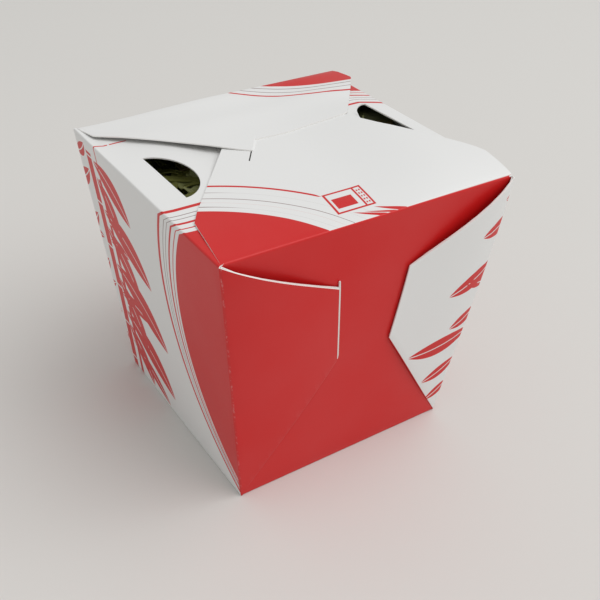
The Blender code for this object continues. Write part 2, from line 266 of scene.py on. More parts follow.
def blank_sheet(name, low, high, cell):
    """A flat grid of board between two corners."""
    deselect_all()
    width, height = high[0] - low[0], high[1] - low[1]
    bpy.ops.mesh.primitive_grid_add(
        x_subdivisions=round(width / cell), y_subdivisions=round(height / cell), size=1, location=(0, 0, 0)
    )
    blank = bpy.context.object
    blank.name = name
    bpy.ops.object.mode_set(mode="EDIT")
    bpy.ops.mesh.select_all(action="SELECT")
    bpy.ops.transform.resize(value=(width, height, 1))
    bpy.ops.transform.translate(value=((low[0] + high[0]) / 2, (low[1] + high[1]) / 2, 0))
    bpy.ops.object.mode_set(mode="OBJECT")
    return blank


def distance_to(points, start, end):
    """Distance of each point from a line between two points."""
    run = end - start
    share = np.clip(((points - start) @ run) / (run @ run), 0, 1)
    return np.linalg.norm(points - start - share[:, None] * run, axis=1)


def score(blank, start, end, near=True):
    """Cuts edges into the blank along a line, near its stretch or right across."""
    start, end = np.array(start[:2], float), np.array(end[:2], float)
    centres, reach = face_centres(blank)
    wanted = distance_to(centres, start, end) < reach if near else np.ones(len(centres), bool)
    select_faces(blank, np.nonzero(wanted)[0])
    run = (end - start) / np.linalg.norm(end - start)
    place, across = (start[0], start[1], 0), (run[1], -run[0], 0)
    bpy.ops.mesh.bisect(plane_co=place, plane_no=across, threshold=CUT_TOLERANCE, use_fill=False)
    bpy.ops.object.mode_set(mode="OBJECT")


def within(points, outline):
    """Whether each point lies in a polygon."""
    found = np.zeros(len(points), bool)
    for (ax, ay), (bx, by) in zip(outline, outline[1:] + outline[:1]):
        if ay == by:
            continue
        crossed = (ay > points[:, 1]) != (by > points[:, 1])
        found ^= crossed & (points[:, 0] < ax + (points[:, 1] - ay) * (bx - ax) / (by - ay))
    return found


def cut_out(blank, outline, keep_inside=True):
    """Cuts the blank along an outline and drops what lies on the wrong side of it."""
    outline = [tuple(p) for p in outline]
    for start, end in zip(outline, outline[1:] + outline[:1]):
        score(blank, start, end)
    centres, _ = face_centres(blank)
    drop = within(centres, outline) != keep_inside
    select_faces(blank, np.nonzero(drop)[0])
    bpy.ops.mesh.delete(type="FACE")
    bpy.ops.object.mode_set(mode="OBJECT")


def score_fold(blank, start, end, beyond, first, last, rows=5):
    """Rows of edges across a fold, so that it can be rolled round."""
    for i in range(rows + 1):
        shift = beyond * (first + (last - first) * i / rows)
        score(blank, start + shift, end + shift)


def score_level_folds(blank, reach, folds):
    """Rows of edges for folds right across a sheet: each a place, the way beyond it and its angle."""
    radius = bpy.context.scene.food_box_sizes.fold_radius
    side = Vector((reach, 0))
    for place, beyond, angle in folds:
        first = fold_start(angle, radius)
        score_fold(blank, place - side, place + side, beyond, first, first + radius * angle)


def fold_start(angle, radius):
    """Where a rolled fold begins, so that the flat faces come out where a sharp fold would put them."""
    return -radius * math.pi / 2 if angle > 2.5 else -radius * math.tan(angle / 2)


def fold(points, chosen, origin, beyond, angle, radius):
    """Rolls points round a fold line: they bend away from the printed side, which faces +Z."""
    out = np.array([beyond.x, beyond.y, 0.0])
    start = fold_start(angle, radius)
    away = (points - np.array([origin.x, origin.y, 0.0])) @ out
    past = away - start
    moved = chosen & (past > 0)
    arc = np.minimum(past, radius * angle)
    turn = arc / radius
    rest = past - arc
    rise = points[:, 2]
    across = start + (radius + rise) * np.sin(turn) + rest * np.cos(turn)
    level = -radius + (radius + rise) * np.cos(turn) - rest * np.sin(turn)
    result = points + np.outer(across - away, out)
    result[:, 2] = level
    points[moved] = result[moved]


def flat_points(blank):
    points = np.zeros(len(blank.data.vertices) * 3)
    blank.data.vertices.foreach_get("co", points)
    return points.reshape(-1, 3)


def map_print(blank):
    """Gives the sheet UVs from its flat shape."""
    mesh = blank.data
    for layer in list(mesh.uv_layers):
        mesh.uv_layers.remove(layer)
    layer = mesh.uv_layers.new(name=UV_NAME)
    flat = flat_points(blank)[:, :2]
    corners = np.zeros(len(mesh.loops), np.int64)
    mesh.loops.foreach_get("vertex_index", corners)
    uvs = flat[corners] / UV_SPAN + np.array([0.5, UV_DROP / UV_SPAN])
    layer.data.foreach_set("uv", uvs.astype(np.float32).ravel())


def lean_of(base_half, top_half):
    """The angle by which a wall leans out."""
    return math.atan2(top_half - base_half, LID_Z)


def stand_up(points, base_half, top_half, quarter_turns):
    """Takes a sheet from flat to its wall: leaning out from the base, and turned round the box."""
    lean = lean_of(base_half, top_half)
    up = np.array([0, -math.sin(lean), math.cos(lean)])
    out = np.array([0, -math.cos(lean), -math.sin(lean)])
    world = points[:, :1] * np.array([1.0, 0, 0]) + points[:, 1:2] * up + points[:, 2:3] * out
    world[:, 1] -= base_half
    turn = np.array(Matrix.Rotation(quarter_turns * math.pi / 2, 3, "Z"))
    return world @ turn.T


def finish_sheet(blank, points, materials):
    """Puts the folded points into the sheet, gives it the board's thickness and its finishes."""
    mesh = blank.data
    mesh.vertices.foreach_set("co", points.ravel())
    mesh.update()
    for made in materials:
        mesh.materials.append(made)
    board = blank.modifiers.new("board", "SOLIDIFY")
    board.thickness = bpy.context.scene.food_box_sizes.board
    board.offset = -1
    board.material_offset = 1
    board.material_offset_rim = 2
    apply_modifiers(blank)
    bpy.ops.object.shade_smooth_by_angle(angle=math.radians(40))
    keep(blank, "carton")
    return blank


# ---------------------------------------------------------------- the lid's heights


def bulge(x, distance, start_x, full_x, span):
    """The arch of a flap near its right end: 0 at its fold and towards its free edge."""
    share = np.clip(distance / span, 0, 1)
    return smooth((x - start_x) / (full_x - start_x)) * np.sin(np.pi * share**0.7)


def front_height(x, y):
    distance = y + LID_HALF_Y - TOP_RECESS
    arch = FRONT_BULGE * bulge(x, distance, 2 * MM, 40 * MM, 90 * MM)
    return FRONT_LIFT * smooth(distance / (12 * MM)) + arch


def back_height(x, y):
    distance = LID_HALF_Y - TOP_RECESS - y
    arch = BACK_BULGE * bulge(x, distance, 8 * MM, LID_HALF_X, 60 * MM)
    height = BACK_LIFT * smooth(distance / (20 * MM)) + arch
    on_front = front_height(x, y) + bpy.context.scene.food_box_sizes.board + 0.01 * MM
    pressed = (on_front - height) * np.where(on_front > height, 1, smooth((x + 22 * MM) / (12 * MM)))
    return height + pressed * smooth((distance - 18 * MM) / (12 * MM))


def side_height(x, y):
    """The left flap sags and the right one slopes up, as far as the flaps over them allow."""
    gap = bpy.context.scene.food_box_sizes.board + 0.2 * MM
    distance = LID_HALF_X - np.abs(x)
    left = -0.2 * MM - SIDE_SAG * smooth((distance - 20 * MM) / (15 * MM))
    left -= LEFT_SAG * smooth(y / (25 * MM) - 0.4)
    edge_x, edge_y, slope = FRONT_EDGE
    past_front = y - (edge_y + slope * (x - edge_x))
    under_front = front_height(x, y) - gap + SIDE_TOP * smooth(past_front / (6 * MM))
    right = np.minimum(np.minimum(SIDE_TOP, SIDE_RISE * (1 - y / (90 * MM)) * distance), under_front)
    lift = np.minimum(np.where(x < 0, left, right), back_height(x, y) - gap)
    return lift * smooth(distance / (2.5 * MM))


# ---------------------------------------------------------------- the long sheets


def slant(base_half, top_half):
    return math.hypot(LID_Z, top_half - base_half)


def long_sheet(name, side_y, left, right, tongue, base_depth, materials):
    """The front or back wall with its flap, and the base or a turned-in lip below it."""
    sizes = bpy.context.scene.food_box_sizes
    base_half, top_half = BASE_HALF - BASE_RECESS, LID_HALF_Y - TOP_RECESS
    fold_t = slant(base_half, top_half)
    wall_low, wall_high = BASE_HALF - WALL_INSET, LID_HALF_X - WALL_INSET
    relief, relief_t = wall_high - CORNER_RELIEF, fold_t - FOLD_RELIEF

    def flat(x, y):
        """A place on the lid, seen from above in metres, as a place on the flat sheet."""
        return (-side_y * x, fold_t + top_half - side_y * y)

    def lid(points):
        return [flat(x * MM, y * MM) for x, y in points]

    flap = lid(left) + [flat(*p) for p in tongue] + lid(right)
    if side_y > 0:
        flap.reverse()
    wall = [(-wall_low, 0), (-wall_high, relief_t), (-relief, relief_t)]
    base = [(wall_low, 0), (wall_low - LIP, -LIP)]
    if base_depth > LIP:
        base.append((wall_low - LIP, -base_depth))
    base += [(-x, y) for x, y in reversed(base[1:])]
    outline = wall + flap + [(-x, y) for x, y in reversed(wall)][:2] + base
    top = max(y for _, y in outline)
    blank = blank_sheet(name, (-wall_high, -base_depth), (wall_high, top), sizes.cell)
    cut_out(blank, outline)
    lean = lean_of(base_half, top_half)
    flap_angle, base_angle = math.pi / 2 + lean, math.pi / 2 - lean
    crease, foot = Vector((0, fold_t)), Vector((0, 0))
    score_level_folds(blank, LID_HALF_X, ((crease, UP, flap_angle), (foot, DOWN, base_angle)))
    if tongue:
        tip_line = [Vector(flat(*TONGUE_START)), Vector(flat(*TONGUE_END))]
        past = -PAST_SLIT
        score_fold(blank, tip_line[0], tip_line[1], past, -0.4 * MM, 0.6 * MM, 4)
    else:
        cut_slit(blank, flat)
    map_print(blank)
    points = flat_points(blank)
    start = points[:, :2].copy()
    if tongue:
        on_tongue = within(start, [tuple(p) for p in tongue_reach(tip_line, past)])
        fold(points, on_tongue, tip_line[0], past, TONGUE_DIP, TONGUE_FOLD)
    fold(points, start[:, 1] > fold_t / 2, crease, UP, flap_angle, sizes.fold_radius)
    fold(points, start[:, 1] < fold_t / 2, foot, DOWN, base_angle, sizes.fold_radius)
    world = stand_up(points, base_half, top_half, 0 if side_y < 0 else 2)
    lid_part = start[:, 1] > fold_t
    heights = front_height if side_y < 0 else back_height
    level = world[:, 2].copy()
    world[lid_part, 2] += heights(world[lid_part, 0], world[lid_part, 1])
    if side_y > 0:
        raise_back(world, level, lid_part, top_half)
    return finish_sheet(blank, world, materials)


def raise_back(world, level, lid_part, top_half):
    """Lifts the back wall's top fold towards its right end, with the wall and flap beside it."""
    rise = BACK_RISE * smooth((world[:, 0] + 46 * MM) / (48 * MM))
    on_flap = 1 - smooth((top_half - world[:, 1]) / (14 * MM))
    on_wall = smooth((level - 60 * MM) / (40 * MM))
    world[:, 2] += rise * np.where(lid_part, on_flap, on_wall)


def tongue_reach(line, past):
    """The part of the flat sheet that holds the tongue."""
    along = (line[1] - line[0]).normalized()
    start = line[0] - along * 0.4 * MM - past * 0.6 * MM
    end = line[1] + along * 0.1 * MM - past * 0.6 * MM
    out = past * (TONGUE_LENGTH + 2 * MM)
    return [start, end, end + out, start + out]


def cut_slit(blank, flat):
    """The slit in the front flap, wide enough for the tongue."""
    start, end = Vector(flat(*SLIT_END)), Vector(flat(*TONGUE_END))
    across = (end - start).normalized().orthogonal() * SLIT_HALF_WIDTH
    cut_out(blank, [start - across, end - across, end + across, start + across], keep_inside=False)


def make_front_sheet(materials):
    base_depth = 2 * (BASE_HALF - BASE_RECESS) - LIP - 0.1 * MM
    return long_sheet("front_sheet", -1, FRONT_FLAP_LEFT, FRONT_FLAP_RIGHT, [], base_depth, materials)


def make_back_sheet(materials):
    narrow = TONGUE_START.lerp(TONGUE_END, 0.2) + PAST_SLIT * TONGUE_LENGTH
    wide = TONGUE_START.lerp(TONGUE_END, 0.8) + PAST_SLIT * TONGUE_LENGTH
    tongue = [TONGUE_START, narrow, wide, TONGUE_END]
    return long_sheet("back_sheet", 1, BACK_FLAP_LEFT, BACK_FLAP_RIGHT, tongue, LIP, materials)


# ---------------------------------------------------------------- the side sheets


def corner_angles():
    """The web's angle at the foot of a corner, and how far it turns round the corner fold."""
    line = Vector((BASE_HALF - LID_HALF_X, BASE_HALF - LID_HALF_Y, LID_Z)).normalized()
    side_out = -(Vector((0, 1, 0)) - line * line.y).normalized()
    front_out = (Vector((1, 0, 0)) - line * line.x).normalized()
    lean_front = math.atan2(LID_HALF_X - BASE_HALF, slant(BASE_HALF, LID_HALF_Y))
    lean_side = math.atan2(LID_HALF_Y - BASE_HALF, slant(BASE_HALF, LID_HALF_X))
    return math.pi / 2 - lean_front - lean_side, side_out.angle(front_out), lean_front, lean_side


def wing_points(hand, corner, underlap):
    """The doubled corner flap in the flat side sheet, at its end with x of hand, 1 or -1.

    Gives its outline from its head round to its inner head, the line that it doubles back along, the way
    out past the corner fold, and how far its tip reaches.
    """
    _, _, lean_front, lean_side = corner_angles()
    up_front = Vector((math.sin(lean_front), math.cos(lean_front)))
    across_front = Vector((-up_front.y, up_front.x))
    foot = Vector((BASE_HALF, 0))
    placed = []
    for spot in corner:
        offset = spot - foot
        placed.append((offset.dot(across_front), offset.dot(up_front)))
    tip, apex = [Vector(p) for p in placed]
    head = Vector((0, CORNER_HEAD))
    edge = [head] + [head.lerp(tip, share) for share in CORNER_EDGE_SHARES]
    half = apex.normalized()
    outer = edge + [tip, apex, apex + half * underlap[0] / half.x]
    aside = Vector((underlap[0], 0))
    high = Vector((0, underlap[1]))
    if underlap[0] > 0:
        under = [p + high * i / 50 for i, p in enumerate(edge)]
        under += [tip + aside * 0.3 + high * 0.12, tip + aside * 0.4 + high]
        under += [tip + aside * 0.9 + high, tip + aside]
    else:
        under = [p + Vector((0, -0.3 * MM)) for p in edge + [tip + aside]]
    inner = [2 * half * half.dot(p) - p for p in reversed(under)]
    up = Vector((math.sin(lean_side), math.cos(lean_side)))
    out = Vector((up.y, -up.x))

    def to_flat(p):
        return Vector((hand * (BASE_HALF + out.x * p.x + up.x * p.y), out.y * p.x + up.y * p.y))

    bisector = to_flat(half * 0.2) - to_flat(Vector((0, 0)))
    return [to_flat(p) for p in outer + inner], bisector.normalized(), Vector((hand * out.x, out.y)), tip.x


def corner_wing(hand, side_x):
    """The left or right corner flap: left ones are at the left of their wall, seen from outside."""
    if side_x < 0:
        return wing_points(hand, LEFT_CORNER, LEFT_UNDERLAP)
    return wing_points(hand, RIGHT_CORNER, RIGHT_UNDERLAP)


def side_sheet(name, side_x, materials):
    """A side wall with its vented flap above, its lip below and a doubled corner flap at each end."""
    sizes = bpy.context.scene.food_box_sizes
    fold_t = slant(BASE_HALF, LID_HALF_X)
    web, corner_turn, _, _ = corner_angles()
    foot = {hand: Vector((hand * BASE_HALF, 0.0)) for hand in (1, -1)}
    wings = {hand: corner_wing(hand, side_x) for hand in (1, -1)}
    relief_t = fold_t - FOLD_RELIEF
    relief_s = LID_HALF_Y - CORNER_RELIEF
    right = [foot[1] - Vector((0.6 * MM, 0)), foot[1] + Vector((0, 0.3 * MM))]
    wing = [tuple(p) for p in reversed(wings[1][0])]
    lip = [(BASE_HALF - LIP, -LIP), (BASE_HALF - 1.2 * MM, 0)]
    flap = [(relief_s, relief_t), (relief_s - 0.6 * MM, fold_t + 1 * MM)]
    flap += [(relief_s - SIDE_FLAP_TAPER, fold_t + SIDE_FLAP_DEPTH)]
    half = lip + [tuple(p) for p in right] + wing + flap
    outline = half + [(-x, y) for x, y in reversed(half)]
    reach = max(x for x, _ in outline)
    blank = blank_sheet(name, (-reach, -LIP), (reach, fold_t + SIDE_FLAP_DEPTH), sizes.cell)
    cut_out(blank, outline)
    score_corner_folds(blank, foot, wings, corner_turn)
    lean = lean_of(BASE_HALF, LID_HALF_X)
    flap_angle, lip_angle = math.pi / 2 + lean, math.pi / 2 - lean
    crease, bottom = Vector((0, fold_t)), Vector((0, 0))
    score_level_folds(blank, LID_HALF_Y, ((crease, UP, flap_angle), (bottom, DOWN, lip_angle)))
    cut_out(blank, vent_outline(side_x, fold_t), keep_inside=False)
    map_print(blank)
    points = flat_points(blank)
    flat = points[:, :2].copy()
    bow = sizes.left_bow if side_x < 0 else sizes.right_bow
    for hand in (1, -1):
        fold_wing(points, flat, hand, foot[hand], wings[hand], web, corner_turn, bow)
    on_flap = (flat[:, 1] > relief_t - 0.2 * MM) & (np.abs(flat[:, 0]) < relief_s + 0.01 * MM)
    fold(points, on_flap, crease, UP, flap_angle, sizes.fold_radius)
    on_lip = np.abs(flat[:, 0]) < BASE_HALF - 0.5 * MM
    fold(points, on_lip & (flat[:, 1] < fold_t / 2), bottom, DOWN, lip_angle, sizes.fold_radius)
    world = stand_up(points, BASE_HALF, LID_HALF_X, side_x)
    if side_x > 0:
        world[:, 0] += SIDE_BOW * np.sin(np.pi * np.clip(world[:, 2] / LID_Z, 0, 1) ** 1.6)
    lid_part = on_flap & (flat[:, 1] > fold_t)
    world[lid_part, 2] += side_height(world[lid_part, 0], world[lid_part, 1])
    return finish_sheet(blank, world, materials)


def score_corner_folds(blank, foot, wings, corner_turn):
    """Rows of edges round the corner folds, and round the folds where the corner flaps double back."""
    sizes = bpy.context.scene.food_box_sizes
    for hand in (1, -1):
        outline, bisector, out, _ = wings[hand]
        up = Vector((-out.y, out.x)) * hand
        first = fold_start(corner_turn, sizes.fold_radius)
        last = first + sizes.fold_radius * corner_turn
        score_fold(blank, foot[hand], foot[hand] + up * CORNER_HEAD, out, first, last)
        beyond = Vector((bisector.y, -bisector.x)) * hand
        fold_end = outline[len(CORNER_EDGE_SHARES) + 3]  # the one after the head, tip and apex
        length = (fold_end - foot[hand]).length
        turned = sizes.double_radius * math.pi / 2
        score_fold(blank, foot[hand], foot[hand] + bisector * length, beyond, -turned, turned, 6)


def fold_wing(points, flat, hand, foot, wing, web, corner_turn, bow):
    """Doubles a corner flap back on itself, arches it and rolls it round the corner."""
    sizes = bpy.context.scene.food_box_sizes
    _, bisector, out, reach = wing
    offset = flat - np.array(foot)
    across = offset @ np.array(out)
    up = np.array([-out.y, out.x]) * hand
    along = offset @ up
    on_wing = (across > -2 * MM) & (along > 0) & (along < CORNER_HEAD + 0.1 * MM)
    angle = np.arctan2(across, np.maximum(along, 1e-9))
    beyond = Vector((bisector.y, -bisector.x)) * hand
    doubled = (across > 0.4 * MM) & (angle > web / 2 - 0.3)
    fold(points, doubled, foot, beyond, math.pi, sizes.double_radius)
    placed = points[:, :2] - np.array(foot)
    share = np.clip(placed @ np.array(out) / reach, 0, 1)
    height = np.clip(placed @ up / CORNER_HEAD, 0, 1)
    lift = CORNER_LIFT * share**2 + bow * np.sin(np.pi * share**0.75) * height
    wing_part = (across > 0) & (angle < web + 0.2)
    points[wing_part, 2] += lift[wing_part]
    fold(points, on_wing | wing_part, foot, out, corner_turn, sizes.fold_radius)


def vent_outline(side_x, fold_t):
    """The half-round vent in the flat sheet; its straight side is parallel to the fold."""
    steps = 30
    outline = []
    inset, middle_y, half_y = LEFT_VENT if side_x < 0 else RIGHT_VENT
    for i in range(steps + 1):
        turn = math.pi * i / steps
        depth = inset + VENT_DEPTH * max(0, math.sin(turn)) ** 1.15
        y = middle_y - half_y * math.cos(turn)
        outline.append((side_x * y, fold_t + depth))
    return outline


# ---------------------------------------------------------------- shader node groups


class Net:
    """Adds nodes to a tree and joins them up."""

    def __init__(self, tree):
        self.tree = tree

    def put(self, socket, value):
        if isinstance(value, bpy.types.NodeSocket):
            self.tree.links.new(value, socket)
        else:
            socket.default_value = value

    def node(self, kind, **settings):
        made = self.tree.nodes.new("ShaderNode" + kind)
        for name, value in settings.items():
            setattr(made, name, value)
        return made

    def math(self, operation, *values, clamp=False):
        made = self.node("Math", operation=operation, use_clamp=clamp)
        for socket, value in zip(made.inputs, values):
            self.put(socket, value)
        return made.outputs[0]

    def minus(self, value, less, **options):
        return self.math("SUBTRACT", value, less, **options)

    def times(self, value, factor, **options):
        return self.math("MULTIPLY", value, factor, **options)

    def times_add(self, value, factor, more, **options):
        return self.math("MULTIPLY_ADD", value, factor, more, **options)

    def add(self, *values):
        total = values[0]
        for value in values[1:]:
            total = self.math("ADD", total, value)
        return total

    def most(self, values):
        total = values[0]
        for value in values[1:]:
            total = self.math("MAXIMUM", total, value)
        return total

    def edge(self, depth):
        """A crisp print edge: 1 where depth in millimetres is above 0."""
        return self.times_add(depth, 1 / PRINT_SOFTNESS, 0.5, clamp=True)

    def use_all(self, name, *values):
        """A node group's outputs, with its inputs given in order."""
        made = self.node("Group")
        made.node_tree = bpy.data.node_groups[name]
        for socket, value in zip(made.inputs, values):
            self.put(socket, value)
        return made.outputs

    def use(self, name, *values):
        return self.use_all(name, *values)[0]

    def mix(self, share, first, second):
        made = self.node("Mix", data_type="RGBA")
        self.put(made.inputs["Factor"], share)
        self.put(made.inputs["A"], first)
        self.put(made.inputs["B"], second)
        return made.outputs["Result"]

    def noise(self, place, scale, detail=2.0, roughness=0.5):
        made = self.node("TexNoise")
        self.put(made.inputs["Vector"], place)
        self.put(made.inputs["Scale"], scale)
        self.put(made.inputs["Detail"], detail)
        self.put(made.inputs["Roughness"], roughness)
        return made.outputs["Fac"]


PRINT_SOFTNESS = 0.14  # millimetres over which ink fades at its edge


def new_group(name, inputs, outputs):
    """A node group with its sockets: inputs and outputs are name, kind pairs."""
    tree = bpy.data.node_groups.new(name, "ShaderNodeTree")
    for label, kind in inputs:
        tree.interface.new_socket(label, in_out="INPUT", socket_type="NodeSocket" + kind)
    for label, kind in outputs:
        tree.interface.new_socket(label, in_out="OUTPUT", socket_type="NodeSocket" + kind)
    start = tree.nodes.new("NodeGroupInput")
    end = tree.nodes.new("NodeGroupOutput")
    return Net(tree), start.outputs, end.inputs


def floats(*names):
    return [(name, "Float") for name in names]


def make_place_group():
    """Millimetres across and up the flat sheet."""
    net, _, out = new_group("Sheet place", [], floats("Across", "Up"))
    uv = net.node("UVMap", uv_map=UV_NAME)
    split = net.node("SeparateXYZ")
    net.put(split.inputs[0], uv.outputs[0])
    span = UV_SPAN / MM
    net.put(out[0], net.times_add(split.outputs["X"], span, -span / 2))
    net.put(out[1], net.times_add(split.outputs["Y"], span, -UV_DROP / MM))


def distance_from(net, across, up, centre_across, centre_up):
    right = net.minus(across, centre_across)
    rise = net.minus(up, centre_up)
    return net.math("SQRT", net.add(net.times(right, right), net.times(rise, rise)))


def make_disc_groups():
    """A printed disc, and a printed ring."""
    names = ("Across", "Up", "Centre across", "Centre up", "Radius")
    net, given, out = new_group("Disc", floats(*names), floats("Mask"))
    away = distance_from(net, *given[0:4])
    net.put(out[0], net.edge(net.minus(given["Radius"], away)))
    net, given, out = new_group("Ring", floats(*names, "Width"), floats("Mask"))
    away = net.math("ABSOLUTE", net.minus(distance_from(net, *given[0:4]), given["Radius"]))
    half = net.times(given["Width"], 0.5)
    net.put(out[0], net.edge(net.minus(half, away)))


def make_bar_group():
    """A printed upright rectangle."""
    names = ("Across", "Up", "Low across", "Low up", "High across", "High up")
    net, given, out = new_group("Bar", floats(*names), floats("Mask"))
    depths = [
        net.minus(given["Across"], given["Low across"]),
        net.minus(given["High across"], given["Across"]),
        net.minus(given["Up"], given["Low up"]),
        net.minus(given["High up"], given["Up"]),
    ]
    least = depths[0]
    for depth in depths[1:]:
        least = net.math("MINIMUM", least, depth)
    net.put(out[0], net.edge(least))


def make_blade_group():
    """A printed pointed leaf from its base to its tip, with a bare line along its middle."""
    names = ("Across", "Up", "Base across", "Base up", "Tip across", "Tip up", "Width", "Vein")
    net, given, out = new_group("Blade", floats(*names), floats("Mask"))
    run = net.minus(given["Tip across"], given["Base across"])
    climb = net.minus(given["Tip up"], given["Base up"])
    square = net.add(net.times(run, run), net.times(climb, climb))
    right = net.minus(given["Across"], given["Base across"])
    rise = net.minus(given["Up"], given["Base up"])
    along = net.add(net.times(right, run), net.times(rise, climb))
    share = net.math("DIVIDE", along, square)
    cross = net.minus(net.times(right, climb), net.times(rise, run))
    off = net.math("DIVIDE", cross, net.math("SQRT", square))
    bow = net.times(net.times(share, net.minus(1.0, share)), given["Width"])
    side = net.math("ABSOLUTE", net.add(off, net.times(bow, 0.8)))
    blade = net.edge(net.minus(net.times(bow, 2.0), side))
    bare = net.edge(net.minus(side, given["Vein"]))
    net.put(out[0], net.times(blade, bare))


FLAP_START = slant(BASE_HALF - BASE_RECESS, LID_HALF_Y - TOP_RECESS) / MM
FLAP_MIDDLE = FLAP_START + (LID_HALF_Y - TOP_RECESS) / MM

# Rings on the long flaps as centre across, centre up from the middle of the lid, and radius: the outer
# stripe, and the edge of the red field.
FRONT_RINGS = ((-65.3, -72.6, 69.4), (-69.6, -74.5, 57.7))
BACK_RINGS = ((-69.6, -115.9, 91.6), (-69.6, -115.9, 82.9))
# Stripes as shares of the way from the first ring to the second: share, width, whether it is a fine line,
# where it ends across, and over what length it thins out.
FRONT_STRIPES = [(0.0, 1.0, False, -8.5, 1), (0.27, 0.4, True, -29, 12), (0.51, 0.34, True, 5, 20)]
FRONT_STRIPES += [(0.67, 0.7, False, -40, 6), (0.84, 0.42, True, -30, 12)]
BACK_STRIPES = [(0.0, 0.9, False), (0.36, 0.4, True), (0.72, 0.5, True)]
# Pointed streaks at the front flap's fold: base, tip, width.
STREAKS = [(10.8, -55, -5.8, -45, 1.6), (14.8, -53.9, -2.3, -46.1, 1.1), (17.7, -54.9, 1.8, -45.1, 1.9)]
# Bars of the oven sign: low across, low up, high across, high up, and whether it is ink or bare.
SIGN_TOP = -32.2
SIGN_SKEW = 0.178
OVEN_SIGN = [(-8.2, -44, 5.7, SIGN_TOP, 1), (-7.4, -43.2, 2.2, -33, 0), (2.9, -43.2, 5, -33, 0)]
OVEN_SIGN += [(-6.6, -41.4, 0.6, -35.8, 1)]
KEY_ROWS = (-42.3, -40.5, -38.7, -36.9, -35.1)
OVEN_SIGN += [(x, y, x + 0.5, y + 0.9, 1) for x in (3.25, 4.15) for y in KEY_ROWS]


def add_stripes(net, across, up, rings, stripes):
    """Masks of the red stripes and of the fine ones, between two rings that need not share a centre."""
    masks = {False: [], True: []}
    for share, width, fine, *end in stripes:
        ring = [first + (last - first) * share for first, last in zip(*rings)]
        if end:
            to_end = net.minus(end[0], across)
            width = net.times(width, net.math("DIVIDE", to_end, end[1], clamp=True))
        masks[fine].append(net.use("Ring", across, up, *ring, width))
    return masks[False], masks[True]


def make_long_print_group(name, rings, stripes, streaks, sign):
    """The print of a long sheet: a red wall, and stripes round a red field on the flap."""
    net, given, out = new_group(name, floats("Across", "Up"), floats("Ink", "Fine"))
    across, up = given[0], net.minus(given[1], FLAP_MIDDLE)
    on_flap = net.edge(net.minus(given[1], FLAP_START + (0.0 if sign else -0.9)))
    masks, fine = add_stripes(net, across, up, rings, stripes)
    masks.append(net.use("Disc", across, up, *rings[1]))
    for base_across, base_up, tip_across, tip_up, width in streaks:
        masks.append(net.use("Blade", across, up, base_across, base_up, tip_across, tip_up, width, -1.0))
    ink = net.most(masks)
    skewed = net.times_add(net.minus(up, SIGN_TOP), -SIGN_SKEW, across)
    for low_across, low_up, high_across, high_up, inked in sign:
        bar = net.use("Bar", skewed, up, low_across, low_up, high_across, high_up)
        if inked:
            ink = net.math("MAXIMUM", ink, bar)
        else:
            ink = net.times(ink, net.minus(1.0, bar))
    wall = net.minus(1.0, on_flap)
    net.put(out[0], net.math("MAXIMUM", ink, wall))
    net.put(out[1], net.most(fine))


SIDE_RINGS = ((85, 67.1, 77.4), (87.8, 62.3, 70.6))
SIDE_STRIPES = [(0.0, 1.35, False), (0.27, 0.32, True), (0.42, 0.28, True)]
SIDE_STRIPES += [(0.62, 0.9, False), (0.84, 0.45, False)]
# Leaves of the side sheets: base, tip, width.
BLADES = [(-37, 94, -13, 79, 9.5), (-37, 88, -24, 66, 8), (-37, 75, -5, 58, 11), (-38, 68, -17, 45, 9)]
BLADES += [(-37, 52, -1, 33, 12), (-38, 46, -20, 20, 9), (-38, 30, -3, 9, 12), (-38, 24, -23, 1, 8.5)]
BLADES += [(-37, 62, -21, 62, 5), (-38, 38, -14, 38, 6), (-38, 16, -9, 1, 6)]
BLADES += [(-43, 88, -58, 79, 6.5), (-44, 70, -63, 56, 7), (-43, 60, -57, 61, 4), (-44, 50, -55, 41, 5.5)]
BLADES += [(-42, 40, -70, 31, 7.5), (-43, 27, -57, 17, 5.5), (-42, 16, -51, 7, 4.5), (-43, 98, -52, 92, 5)]
STALKS = [(-40.5, 4.2, 96.0), (-34.5, 2.0, 88.0), (-33.6, 0.7, 112.0)]


def make_side_print_group():
    """The side sheets' print: bamboo on bare board, stripes, and a red field that takes the corner."""
    net, given, out = new_group("Side print", floats("Across", "Up"), floats("Ink", "Fine"))
    across, up = given[0], given[1]
    low_up = net.math("MINIMUM", up, 100.0)
    past_fold = net.math("DIVIDE", net.minus(up, 98.5), 2.5, clamp=True)
    shifted = net.times_add(past_fold, -2.5, across)
    masks, fine = add_stripes(net, shifted, low_up, SIDE_RINGS, SIDE_STRIPES)
    masks.append(net.use("Disc", shifted, low_up, *SIDE_RINGS[1]))
    masks.append(net.edge(net.minus(across, 42.0)))
    bisector = corner_wing(-1, 1)[1]
    beyond = net.times(net.add(across, BASE_HALF / MM), -bisector.y)
    beyond = net.times_add(up, bisector.x, beyond)
    masks.append(net.edge(net.add(beyond, 0.45)))
    for base_across, base_up, tip_across, tip_up, width in BLADES:
        masks.append(net.use("Blade", across, up, base_across, base_up, tip_across, tip_up, width, 0.22))
    for middle, width, top in STALKS:
        lean = net.math("SINE", net.times(up, 0.03))
        straight = net.times_add(lean, -1.6, across)
        stalk = net.use("Bar", straight, up, middle - width / 2, -4.0, middle + width / 2, top)
        joint = net.math("PINGPONG", net.add(up, middle), 9.0)
        masks.append(net.times(stalk, net.edge(net.minus(joint, 0.35))))
    net.put(out[0], net.most(masks))
    net.put(out[1], net.most(fine))


